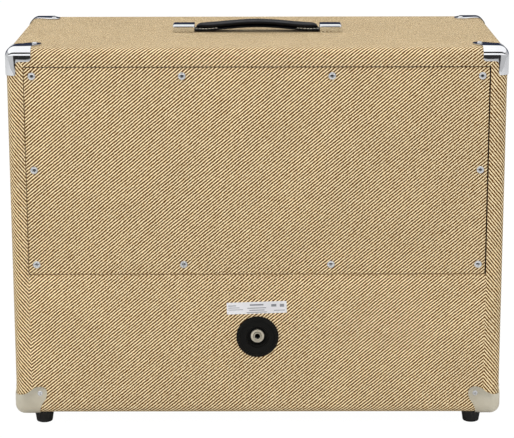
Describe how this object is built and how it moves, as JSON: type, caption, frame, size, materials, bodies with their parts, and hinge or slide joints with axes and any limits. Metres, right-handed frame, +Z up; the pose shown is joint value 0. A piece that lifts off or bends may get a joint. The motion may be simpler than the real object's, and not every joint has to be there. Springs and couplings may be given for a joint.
{
  "type": "guitar speaker cabinet",
  "caption": "Tweed-covered closed-back guitar speaker cabinet with screwed rear panel, recessed jack, strap handle, metal corners and rubber feet.",
  "frame": {"origin": "On the surface the feet stand on, under the middle of the box.", "axes": "+Z up, +Y towards the rear panel with the jack, -Y towards the grille, +X to the left as seen from behind. Left and right in the node names are as seen from behind."},
  "size_m": [0.573, 0.2845, 0.464],
  "materials": {
    "tweed": "woven diagonal stripe cloth, cream and brown, with a clear lacquer",
    "plywood": "bare birch plywood",
    "black_board": "plywood painted matte black",
    "pine": "bare planed pine",
    "grille_fabric": "coarse open weave, brown with pale threads",
    "screw_chrome": "polished",
    "chrome_plate": "polished plate",
    "satin_nickel": "satin nickel plate",
    "zinc_steel": "zinc plated steel",
    "handle_leather": "black grained leather, stitched",
    "foot_rubber": "matte moulded rubber",
    "black_plastic": "fine moulded texture",
    "spring_bronze": "phosphor bronze and copper",
    "basket_paint": "black enamel on pressed steel",
    "cone_paper": "pressed paper pulp and doped cloth",
    "ferrite": "sintered ferrite",
    "wire_sleeve": "extruded insulation"
  },
  "bodies": {
    "root": {"baffle_board": "black_board", "baffle_cleat_left": "pine", "baffle_cleat_right": "pine", "bottom_board": "plywood", "bottom_corner_front_left": "satin_nickel", "bottom_corner_front_right": "satin_nickel", "bottom_corner_rear_left": "satin_nickel", "bottom_corner_rear_right": "satin_nickel", "cover_rear_lower": "tweed", "cover_rear_upper": "tweed", "cover_sleeve": "tweed", "foot_front_left": "foot_rubber", "foot_front_right": "foot_rubber", "foot_rear_left": "foot_rubber", "foot_rear_right": "foot_rubber", "grille_cloth": "grille_fabric", "grille_frame": "black_board", "handle_cap_left": "chrome_plate", "handle_cap_right": "chrome_plate", "handle_screw_left": "zinc_steel", "handle_screw_right": "zinc_steel", "handle_strap_end_left": "handle_leather", "handle_strap_end_right": "handle_leather", "jack_dish": "black_plastic", "jack_nut": "chrome_plate", "jack_socket": "zinc_steel", "left_board": "plywood", "panel_screw_01": "screw_chrome", "panel_screw_02": "screw_chrome", "panel_screw_03": "screw_chrome", "panel_screw_04": "screw_chrome", "panel_screw_05": "screw_chrome", "panel_screw_06": "screw_chrome", "panel_screw_07": "screw_chrome", "panel_screw_08": "screw_chrome", "panel_screw_09": "screw_chrome", "panel_screw_10": "screw_chrome", "rear_cleat_left": "pine", "rear_cleat_right": "pine", "rear_cleat_top": "pine", "rear_cross_rail": "pine", "rear_panel_lower": "plywood", "rear_panel_upper": "plywood", "right_board": "plywood", "speaker_basket": "basket_paint", "speaker_magnet": "ferrite", "speaker_spider": "cone_paper", "speaker_surround": "cone_paper", "speaker_wire": "wire_sleeve", "speaker_yoke": "zinc_steel", "top_board": "plywood", "top_corner_front_left": "chrome_plate", "top_corner_front_right": "chrome_plate", "top_corner_rear_left": "chrome_plate", "top_corner_rear_right": "chrome_plate"},
    "handle_grip": {"handle_strap": "handle_leather"},
    "cone_assembly": {"speaker_cone": "cone_paper", "speaker_dust_cap": "cone_paper", "speaker_voice_coil": "spring_bronze"},
    "jack_contact": {"jack_tip_spring": "spring_bronze"}
  },
  "joints": [
    {"name": "handle_lift", "type": "slide", "parent": "root", "child": "handle_grip", "axis": [0, 0, 1], "range_m": [0, 0.012], "deforming": ["handle_strap_end_left", "handle_strap_end_right"]},
    {"name": "cone_travel", "type": "slide", "parent": "root", "child": "cone_assembly", "axis": [0, 1, 0], "range_m": [-0.0025, 0.0025], "stiffness_N_per_m": 2000, "deforming": ["speaker_surround", "speaker_spider"]},
    {"name": "jack_contact_flex", "type": "hinge", "parent": "root", "child": "jack_contact", "pos_m": [0, 0.118, 0.1053], "axis": [1, 0, 0], "range_deg": [0, 12], "stiffness_Nm_per_rad": 0.02}
  ]
}
